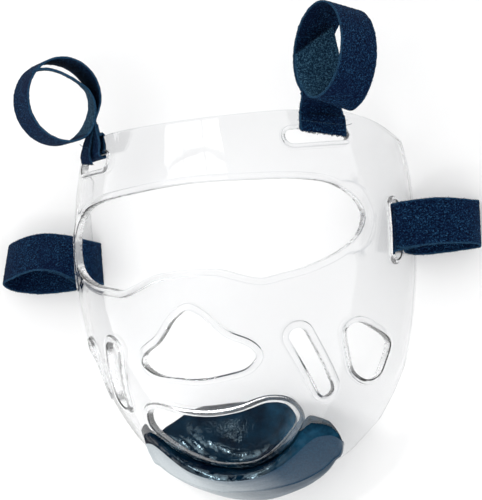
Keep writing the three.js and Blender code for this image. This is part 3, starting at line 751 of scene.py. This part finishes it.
def make_pad():
    turns = np.linspace(-math.pi / 2, math.pi / 2, PAD_STEPS)
    acrosses = PAD_HALF * (0.55 * np.sin(turns) + 0.45 * np.linspace(-1, 1, PAD_STEPS))
    sections = [pad_section(a) for a in acrosses]
    count = len(sections[0])
    points = np.array([[(a, y, z) for y, z in section] for a, section in zip(acrosses, sections)])
    hub = points.mean(1, keepdims=True)
    end = np.clip((np.abs(acrosses) - PAD_END) / (PAD_HALF - PAD_END), 0, 1)
    points = hub + (points - hub) * np.sqrt(np.maximum(1 - end**2, 0.002))[:, None, None]
    part = np.tile(np.arange(count) / PAD_SPAN, (PAD_STEPS, 1))
    normal = unit(np.cross(np.gradient(points, axis=0), np.roll(points, -1, 1) - np.roll(points, 1, 1)))
    relief = pad_relief(acrosses[:, None], part) * (1 - end[:, None])
    grain = RNG.normal(0, GRAIN, part.shape) * (1 - end[:, None])
    flat = (points + normal * (relief + grain)[..., None]).reshape(-1, 3)
    faces = grid_faces(PAD_STEPS, count)
    hubs = [flat[:count].mean(0), flat[-count:].mean(0)]
    first, last = len(flat), len(flat) + 1
    start = (PAD_STEPS - 1) * count
    for i in range(count):
        j = (i + 1) % count
        faces += [(j, i, first), (start + i, start + j, last)]
    points = np.concatenate([flat, hubs])
    pad = mesh_piece("dipped_foam_pad", "chin_pad", points, faces, [glossy_skin(), satin_skin()])
    parts = np.concatenate([part.ravel(), [8, 8]]).astype(np.float32)
    point_layer(pad, "part", parts)
    point_layer(pad, "side", np.concatenate([np.repeat(acrosses / PAD_HALF, count), [-1, 1]]))
    point_layer(pad, "shine", np.concatenate([pad_shine(acrosses[:, None], part).ravel(), [0, 0]]))
    for polygon in pad.data.polygons:
        polygon.material_index = int(SATIN[0] < parts[list(polygon.vertices)].mean() < SATIN[1])


def glossy_skin():
    """The stretched skin of the cup and lip: near black, a painted sheen bluer towards the right, streaked
    with gloss.
    """
    n = Nodes("dipped_vinyl_gloss")
    pimples = n.noise(900, 3.0, 0.55)
    patches = n.noise(75, 4.0, 0.6)
    ripples = n.noise(160, 2.0, 0.5, distortion=0.8)
    # Painted sheen: the lighter teal base takes a growing share towards the right.
    flank = n.span(n.layer("side"), 0.2, 0.75)
    dark = n.ramp(patches, [(0.38, (0.0006, 0.0025, 0.008)), (0.66, (0.0014, 0.012, 0.026))])
    teal = n.ramp(patches, [(0.4, (0.001, 0.012, 0.026)), (0.62, (0.012, 0.07, 0.13))])
    shine = n.math("MULTIPLY", n.layer("shine"), n.span(n.noise(230, 4.0, 0.7), 0.4, 0.55))
    cup = n.span(n.layer("part"), 12.5, 13, 0, 0.05)
    n.shader.inputs["Specular IOR Level"].default_value = 0.3
    return n.shade(
        Base_Color=n.mix(n.math("MULTIPLY", flank, 0.6), dark, teal),
        Roughness=n.span(n.noise(420, 5.0, 0.7), 0.3, 0.7, 0.05, 0.13),
        IOR=1.8, Specular_IOR_Level=n.math("ADD", shine, cup, clamp=True), Specular_Tint=(0.62, 0.87, 1, 1),
        Normal=n.bump(pimples, 0.4, 0.0004, n.bump(ripples, 0.4, 0.001)),
    )


def satin_skin():
    """The outer skin: satin teal, with a pale painted sheen towards the left and painted shade below the
    crease.
    """
    n = Nodes("dipped_vinyl_satin")
    # Painted shade: the underside below the crease is darkened towards near black.
    under = n.span(n.layer("part"), 5.25, 5.5)
    grain = n.noise(1400, 3.0, 0.65)
    satin = n.ramp(grain, [(0.35, (0.0004, 0.015, 0.042)), (0.7, (0.003, 0.046, 0.092))])
    # Painted sheen: a pale grey base towards the left, stronger further down towards the crease.
    painted_sheen_color = n.ramp(grain, [(0.35, (0.36, 0.4, 0.42)), (0.7, (0.5, 0.54, 0.56))])
    height = n.span(n.layer("part"), 3, 5.2, 0.85, 1.15)
    painted_sheen_share = n.math("MULTIPLY", n.span(n.layer("side"), 0.45, -0.5, 0, 0.9), height, clamp=True)
    # The base colour: satin teal, lightened by the painted sheen and darkened below the crease by painted
    # shade.
    return n.shade(
        Base_Color=n.mix(n.math("MULTIPLY", under, 0.35), n.mix(painted_sheen_share, satin, painted_sheen_color), (0.01, 0.018, 0.028)),
        Roughness=n.span(n.noise(500, 4.0, 0.6), 0.3, 0.7, 0.34, 0.46),
        IOR=1.5, Specular_IOR_Level=0.25, Normal=n.bump(grain, 0.3, 0.00012),
        Sheen_Weight=0.25, Sheen_Roughness=0.4, Sheen_Tint=(0.86, 0.95, 1, 1),
    )


make_pad()


# ---- the tape of the straps
TAPE_COLUMNS = 22
TAPE_STEP = 1.1
NAP = 0.07
RAGGED = 0.08
HOOK_LENGTH = 62
STITCH_LENGTH = 1.7
STITCH_GAP = 2.3
STITCH_RADIUS = 0.26
# Where the tape's inner end lies along the stem, in rows.
BACK_ROWS = slice(14, 30)


def even_rows(middle, values):
    """Rows of values spaced evenly along a middle line, and how far along each is."""
    along = travelled(middle)
    where = np.linspace(0, along[-1], max(int(along[-1] / TAPE_STEP), 6))
    return where, columns_at(where, along, values)


def tape_section():
    """The points round a tape: place across from -1 to 1, inset from its edge, and height."""
    radius = TAPE_THICK / 2
    spots = np.linspace(-1, 1, TAPE_COLUMNS)
    edge = [(0.3 * radius, 0.7 * radius), (0, 0), (0.3 * radius, -0.7 * radius)]
    section = [(spot, radius, radius) for spot in spots] + [(1, inset, lift) for inset, lift in edge]
    section += [(spot, radius, -radius) for spot in spots[::-1]]
    section += [(-1, inset, lift) for inset, lift in edge[::-1]]
    return np.array(section).T


def tape_end(base, size, flip):
    """The faces that close a tape's end, whose ring of points starts at base."""
    ring = list(range(base, base + size))
    half = TAPE_COLUMNS
    faces = [[ring[i], ring[i + 1], ring[2 * half + 1 - i], ring[2 * half + 2 - i]] for i in range(half - 1)]
    faces += [ring[half - 1 : half + 4], ring[2 * half + 2 :] + ring[:1]]
    return [face[::-1] for face in faces] if flip else faces


def tape(near, far, hook=0.0):
    """Tape between two edge curves, with hooks under the last of its length: its part, and its rows."""
    values = np.concatenate([near, far], 1)
    along, rows = even_rows((values[:, :3] + values[:, 3:]) / 2, values)
    near, far = rows[:, :3], rows[:, 3:]
    middle, span = (near + far) / 2, far - near
    width = np.linalg.norm(span, axis=1)
    span = unit(span)
    ahead = unit(np.gradient(middle, axis=0))
    out = unit(np.cross(ahead, span))
    share, inset, lift = tape_section()
    count, size = len(middle), len(share)
    across = share * (width[:, None] / 2 - inset)
    nap = RNG.normal(0, NAP, across.shape)
    ragged = RNG.normal(0, RAGGED, across.shape) * (np.abs(share) == 1)
    points = middle[:, None] + span[:, None] * (across + ragged)[..., None]
    points = points + out[:, None] * (lift + nap)[..., None]
    faces = grid_faces(count, size, flip=True)
    faces += tape_end(0, size, False) + tape_end((count - 1) * size, size, True)
    hooked = (np.repeat(along, size) > along[-1] - hook) & (np.tile(lift, count) < 0)
    places = np.stack([np.tile(share * TAPE_WIDTH / 2, count), np.zeros(count * size), hooked], 1)
    return (points.reshape(-1, 3), faces, places), (middle, span, out, ahead, width)


def fibre(path, radius, pale):
    """A thread along a path, with four sides and closed ends; pale is from 0 to 1."""
    ahead = unit(np.gradient(path, axis=0))
    side = unit(np.cross(ahead, (0.31, 0.52, 0.79)))
    top = np.cross(ahead, side)
    ring = [(1, 0), (0, 1), (-1, 0), (0, -1)]
    points = np.array([p + (s * x + t * y) * radius for p, s, t in zip(path, side, top) for x, y in ring])
    faces = grid_faces(len(path), len(ring))
    last = len(points) - 4
    faces += [[3, 2, 1, 0], [last, last + 1, last + 2, last + 3]]
    return points, faces, np.tile((0, pale, 0), (len(points), 1))


def frayed(rows, at, count, reach):
    """Loose threads from the end of a tape: at is 0 for its start and -1 for its end."""
    middle, span, out, ahead, width = (r[at] for r in rows)
    away = -ahead if at == 0 else ahead
    steps = np.linspace(0, 1, 4)[:, None]
    threads = []
    for _ in range(count):
        across = RNG.uniform(-0.5, 0.5) * (width - 0.5)
        start = middle + span * across + out * RNG.uniform(-0.35, 0.35) - away * 0.4
        bend = span * RNG.normal(0, 0.5) + out * RNG.normal(0, 0.5)
        size = reach * RNG.uniform(0.35, 1)
        path = start + away * steps * (size + 0.4) + bend * steps**2 * size
        threads.append(fibre(path, RNG.uniform(0.1, 0.17), RNG.uniform(0, 0.5)))
    return threads


def fuzz(rows, spacing, reach):
    """Short threads along both edges of a tape."""
    middle, span, out, ahead, width = rows
    steps = np.linspace(0, 1, 3)[:, None]
    threads = []
    for i in range(2, len(middle) - 2):
        for side in (-1, 1):
            if RNG.random() > TAPE_STEP / spacing:
                continue
            edge = middle[i] + side * span[i] * (width[i] / 2 - 0.3)
            lean = ahead[i] * RNG.normal(0, 0.8) + out[i] * RNG.normal(0, 0.8)
            away = side * span[i] * steps
            path = edge + away * 0.5 + (lean * steps**2 + away) * reach * RNG.uniform(0.3, 1)
            threads.append(fibre(path, 0.06, RNG.uniform(0, 0.6)))
    return threads


def stitches(starts, along, out):
    """A row of sewn threads, each half sunk in the tape."""
    steps = np.linspace(-1, 1, 5)[:, None]
    length, rise = along * steps * STITCH_LENGTH / 2, out * (0.28 * (1 - steps**2) - 0.12)
    return [fibre(start + length + rise, STITCH_RADIUS, 0.45) for start in starts]


def rotated(vector, axis, angle):
    axis = unit(axis)
    turned = vector * math.cos(angle) + np.cross(axis, vector) * math.sin(angle)
    return turned + axis * (axis @ vector) * (1 - math.cos(angle))


def ring_frame(ring):
    """A ring's axis, and the directions of its oval's breadth and height."""
    swing, dip, lean = (math.radians(ring[k]) for k in ("swing", "dip", "lean"))
    axis = np.array([math.cos(swing) * math.cos(dip), math.sin(dip), math.sin(swing) * math.cos(dip)])
    level = unit(np.cross(axis, (0, 1, 0)))
    upright = np.cross(level, axis)
    return axis, rotated(level, axis, -lean), rotated(upright, axis, -lean)


def ring_point(ring, angle, inset=0.0):
    axis, level, upright = ring_frame(ring)
    angle, inset = np.radians(angle)[..., None], np.asarray(inset)[..., None]
    middle = ring["centre"] + level * (ring["breadth"] - inset) * np.cos(angle)
    return middle + upright * (ring["tall"] - inset) * np.sin(angle)


def bezier(points, count):
    a, b, c, d = points
    t = np.linspace(0, 1, count)[:, None]
    return a * (1 - t) ** 3 + 3 * b * t * (1 - t) ** 2 + 3 * c * t**2 * (1 - t) + d * t**3


def slot_frame(ring):
    """The middle of a ring's slot, and the directions along it, up the face and out of it."""
    turn = np.array([ring["side"] * TOP_SLOT["turn"]])
    height = np.array([TOP_SLOT["height"]])
    across, _, out = (v[0] for v in shell_axes(turn, height))
    across = rotated(unit(across), out, -math.radians(ring["slant"]))
    return shell_point(turn, height)[0], across, np.cross(out, across), out


def ring_edges(ring):
    """The ring's two edge curves, and its tape's direction across at the foot."""
    axis, _, _ = ring_frame(ring)
    near_angle, near_inset, far_angle, far_inset, edge_on, far_reach = smooth_columns(ring["spiral"], 24)
    front = unit(np.array(EYE_POINT) - ring["centre"])
    widths = unit(axis * (1 - edge_on[:, None]) + front * edge_on[:, None])
    near = ring_point(ring, near_angle, near_inset) - widths * HALF_TAPE
    far = ring_point(ring, far_angle, far_inset) + widths * far_reach[:, None]
    return near, far, widths[0]


def wrap_middle(ring, slot, across, up, out):
    """The tape's middle line from behind the shell, round the bar over its slot and up to the ring's foot."""
    course = catmull(WRAP_COURSE[: ring["rows"]], False, 8)
    in_front, behind = ring["shift"]
    slide = in_front + (behind - in_front) * (1 - smoothstep(course[:, 0], -3.4, 1.6))
    lower = slot + out * course[:, :1] + up * course[:, 1:] + across * slide[:, None]
    foot_angle = ring["spiral"][0][0]
    joint = ring_point(ring, foot_angle)
    along = unit(ring_point(ring, foot_angle - 4) - ring_point(ring, foot_angle + 4))
    foot = lower[-1]
    rise = np.linalg.norm(joint - foot)
    stem = bezier([foot, foot + up * rise * 0.5, joint - along * rise * 0.32, joint], 40)[1:-1]
    layer = unit(np.cross(unit(np.gradient(stem, axis=0)), across))
    back = (stem + layer * (TAPE_THICK + 0.2))[BACK_ROWS][::-1]
    return np.concatenate([back, lower, stem])


def sewn_flap(ring, slot, across, up, out):
    """The short flap before the stem, with its row of stitches and a loose thread."""
    columns = [column[:, None] for column in smooth_columns(ring["flap"], 12)]
    near, far = (slot + (x * across + y * up + z * out) for x, y, z in (columns[:3], columns[3:]))
    piece, rows = tape(near, far)
    parts = [piece] + frayed(rows, -1, 110, 1.0) + fuzz(rows, 1.5, 0.6)
    middle, span, above, ahead, width = (r[int(len(rows[0]) * ring["seam"])] for r in rows)
    face = above * (1 if above @ out > 0 else -1)
    places = np.arange(-width / 2 + 1.6, width / 2 - 1.2, STITCH_GAP)[:, None]
    parts += stitches(middle + span * places + face * TAPE_THICK / 2, span, face)
    end = middle + span * (width / 2 - 0.6) * ring["side"] + face * TAPE_THICK / 2
    loose = np.linspace(0, 1, 6)[:, None]
    path = end + span * ring["side"] * loose * 3.2 + (face * 0.8 - ahead * 0.9) * loose**2
    return parts + [fibre(path, 0.13, 0.2)]


def top_strap(name, ring):
    """A tape wrapped through its slot and closed in a ring, and the flap sewn to its foot."""
    slot, across, up, out = slot_frame(ring)
    ring_near, ring_far, ring_width = ring_edges(ring)
    middle = wrap_middle(ring, slot, across, up, out)
    turned = smoothstep((middle - slot) @ up, *ring["pinch"])[:, None]
    width = unit(across * (1 - turned) + ring_width * turned)
    near = np.concatenate([middle - width * HALF_TAPE, ring_near])
    far = np.concatenate([middle + width * HALF_TAPE, ring_far])
    piece, rows = tape(near, far, HOOK_LENGTH)
    parts = [piece] + frayed(rows, 0, 30, 0.9) + frayed(rows, -1, 40, 0.8) + fuzz(rows, 2.4, 0.45)
    make_strap(name, parts + sewn_flap(ring, slot, across, up, out))


def side_strap(name, loop):
    """A flat loop through a side slot, of one tape or two."""
    side = loop["side"]
    parts = []
    for stations in loop["tapes"]:
        x, z, y, tilt, width = catmull(stations, False, 10).T
        middle = np.stack([side * x, y, z], 1)
        tilt, half = np.radians(tilt), width / 2
        reach = np.stack([np.zeros_like(half), half * np.cos(tilt), -half * np.sin(tilt)], 1)
        near, far = middle + side * reach, middle - side * reach
        low = TAPE_THICK / 2 + 0.05
        near[:, 2], far[:, 2] = np.maximum(near[:, 2], low), np.maximum(far[:, 2], low)
        piece, rows = tape(near, far)
        parts += [piece] + frayed(rows, 0, 90, 0.9) + frayed(rows, -1, 60, 0.8) + fuzz(rows, 2.4, 0.45)
    make_strap(name, parts)


def make_strap(name, parts):
    """A strap's piece from its parts, each with its points, faces and places on the tape."""
    faces, start = [], 0
    for points, corners, _ in parts:
        faces += [[i + start for i in face] for face in corners]
        start += len(points)
    points, places = np.concatenate([part[0] for part in parts]), np.concatenate([part[2] for part in parts])
    strap = mesh_piece(name.replace("strap", "tape"), name, points, faces, [CLOTH])
    for layer, values in zip(("across", "thread", "hook"), places.T):
        point_layer(strap, layer, values)


def tape_cloth():
    """Looped pile with darker patches, paler hooks under the ends, and a plain woven edge."""
    n = Nodes("hook_and_loop_tape")
    thread = n.layer("thread")
    border = n.span(n.math("ABSOLUTE", n.layer("across")), 12.0, 12.45)
    loops = n.texture("Voronoi", Scale=1300).outputs["Distance"]
    fluff = n.noise(2100, 3.0, 0.75)
    clumps = n.noise(1150, 2.0, 0.6)
    patches = n.noise(55, 3.0, 0.55)
    mottle = n.math("MULTIPLY_ADD", fluff, 0.55, n.math("MULTIPLY", clumps, 0.5))
    pile = n.ramp(mottle, [
        (0.4, (0.0003, 0.0012, 0.006)), (0.5, (0.0008, 0.0045, 0.021)), (0.57, (0.003, 0.02, 0.058)),
        (0.68, (0.032, 0.1, 0.19)),
    ])
    tinted = n.mix(n.span(patches, 0.45, 0.68, 0, 0.55), pile, (0.0012, 0.004, 0.024))
    hooks = n.ramp(mottle, [
        (0.42, (0.002, 0.011, 0.029)), (0.53, (0.008, 0.036, 0.074)), (0.63, (0.07, 0.17, 0.26)),
    ])
    sided = n.mix(n.span(n.layer("hook"), 0.4, 0.6), tinted, hooks)
    worn = n.math("MULTIPLY", border, n.span(fluff, 0.35, 0.6, 0.1, 0.8))
    edged = n.mix(worn, sided, (0.022, 0.07, 0.13))
    return n.shade(
        Base_Color=n.mix(n.math("MULTIPLY", thread, 0.8), edged, (0.05, 0.1, 0.15)),
        Roughness=0.9, Sheen_Weight=0.015, Sheen_Roughness=0.4, Sheen_Tint=(0.3, 0.6, 0.85, 1),
        Specular_IOR_Level=0.04,
        Normal=n.bump(loops, 0.8, 0.0004, n.bump(clumps, 0.7, 0.0007)),
    )


CLOTH = tape_cloth()
for name, ring in RINGS.items():
    top_strap(name, ring)
for name, loop in LOOPS.items():
    side_strap(name, loop)


# ---- the stage and the light
FLOOR_HALF = 4000
FLOOR_ROWS = 9
# The window panes' edges, in the plane where they hang over the mask.
WINDOW = dict(left=[-90, -45, -6], right=[-49, -10, 24], low=[80, 94], high=[91.5, 114])
WINDOW_HEIGHT = 180
WINDOW_GLOW = 3.4


def make_stage():
    spots = np.linspace(-FLOOR_HALF, FLOOR_HALF, FLOOR_ROWS)
    grid = np.array([(x, y, 0) for y in spots for x in spots]) - ORIGIN / MM
    mesh = bpy.data.meshes.new("floor")
    mesh.from_pydata(row(grid).tolist(), [], grid_faces(FLOOR_ROWS, FLOOR_ROWS, closed=False))
    floor = new_object("floor", mesh)
    n = Nodes("white_paper")
    paper = n.shade(
        Base_Color=n.ramp(n.noise(6, 4.0, 0.5), [(0.3, (0.9, 0.9, 0.9)), (0.7, (0.92, 0.92, 0.92))]),
        Roughness=0.9, Specular_IOR_Level=0.2, Normal=n.bump(n.noise(700, 3.0, 0.6), 0.05, 0.0002),
    )
    mesh.materials.append(paper)


def dome(horizon, zenith):
    """A white room, brighter towards its walls than at its ceiling."""
    world = bpy.data.worlds.new("white_room")
    bpy.context.scene.world = world
    world.use_nodes = True
    nodes, links = world.node_tree.nodes, world.node_tree.links
    place, split, fade = (nodes.new("ShaderNode" + kind) for kind in ("TexCoord", "SeparateXYZ", "MapRange"))
    fade.inputs["To Min"].default_value, fade.inputs["To Max"].default_value = horizon, zenith
    links.new(place.outputs["Generated"], split.inputs[0])
    links.new(split.outputs["Z"], fade.inputs["Value"])
    links.new(fade.outputs[0], nodes["Background"].inputs["Strength"])
    nodes["Background"].inputs["Color"].default_value = (1, 1, 1, 1)


def panel(name, middle, size, glow, target):
    """A flat lamp. Its middle and target are in the mask's frame; glow is its brightness as seen."""
    lamp = bpy.data.lights.new(name, "AREA")
    lamp.shape = "RECTANGLE"
    lamp.size, lamp.size_y = (s * MM for s in size)
    lamp.energy = glow * math.pi * lamp.size * lamp.size_y
    holder = new_object(name, lamp)
    start, end = Vector(row(middle)), Vector(row(target))
    aim = (start - end).to_track_quat("Z", "Y").to_matrix().to_4x4()
    holder.matrix_world = Matrix.Translation(start) @ aim


make_stage()
dome(1.9, 0.8)
for i, (left, right) in enumerate(zip(WINDOW["left"], WINDOW["right"])):
    for j, (low, high) in enumerate(zip(WINDOW["low"], WINDOW["high"])):
        x, y = (left + right) / 2, (low + high) / 2
        panel(f"window_{i}_{j}", (x, y, WINDOW_HEIGHT), (right - left, high - low), WINDOW_GLOW, (x, y, 0))
panel("chin_lamp", (-24, -50, 150), (26, 12), 50, (-4, -92, 40))
bpy.context.scene.view_settings.view_transform = "Standard"
